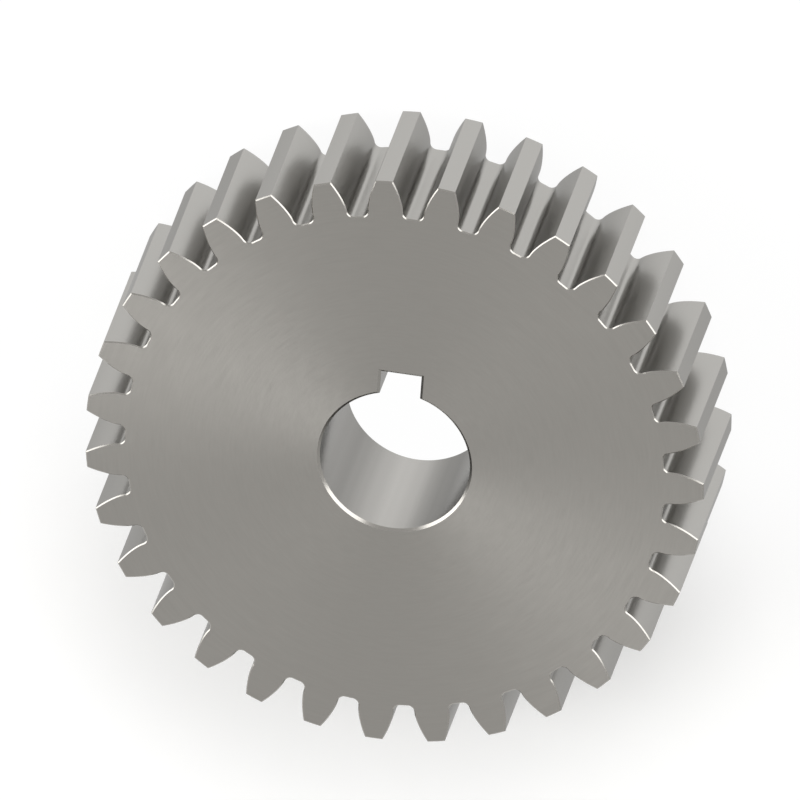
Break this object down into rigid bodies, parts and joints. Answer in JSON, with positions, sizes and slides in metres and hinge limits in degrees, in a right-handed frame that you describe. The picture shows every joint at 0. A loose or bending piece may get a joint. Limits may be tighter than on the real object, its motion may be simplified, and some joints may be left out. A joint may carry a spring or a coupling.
{
  "type": "spur gear wheel",
  "caption": "Flat steel spur gear wheel with straight teeth around its rim, a plain bore and one keyway, for turning with a shaft and driving another gear.",
  "frame": {"origin": "on the bore axis, at the rear face that the wheel lies on", "axes": "+Z along the bore axis to the face in the picture, +Y through the middle of the keyway"},
  "size_m": [0.0824, 0.0824, 0.0205],
  "materials": {
    "steel": "turned faces and hobbed teeth, dry and clean"
  },
  "bodies": {
    "root": {"gear_wheel": "steel"}
  },
  "joints": []
}
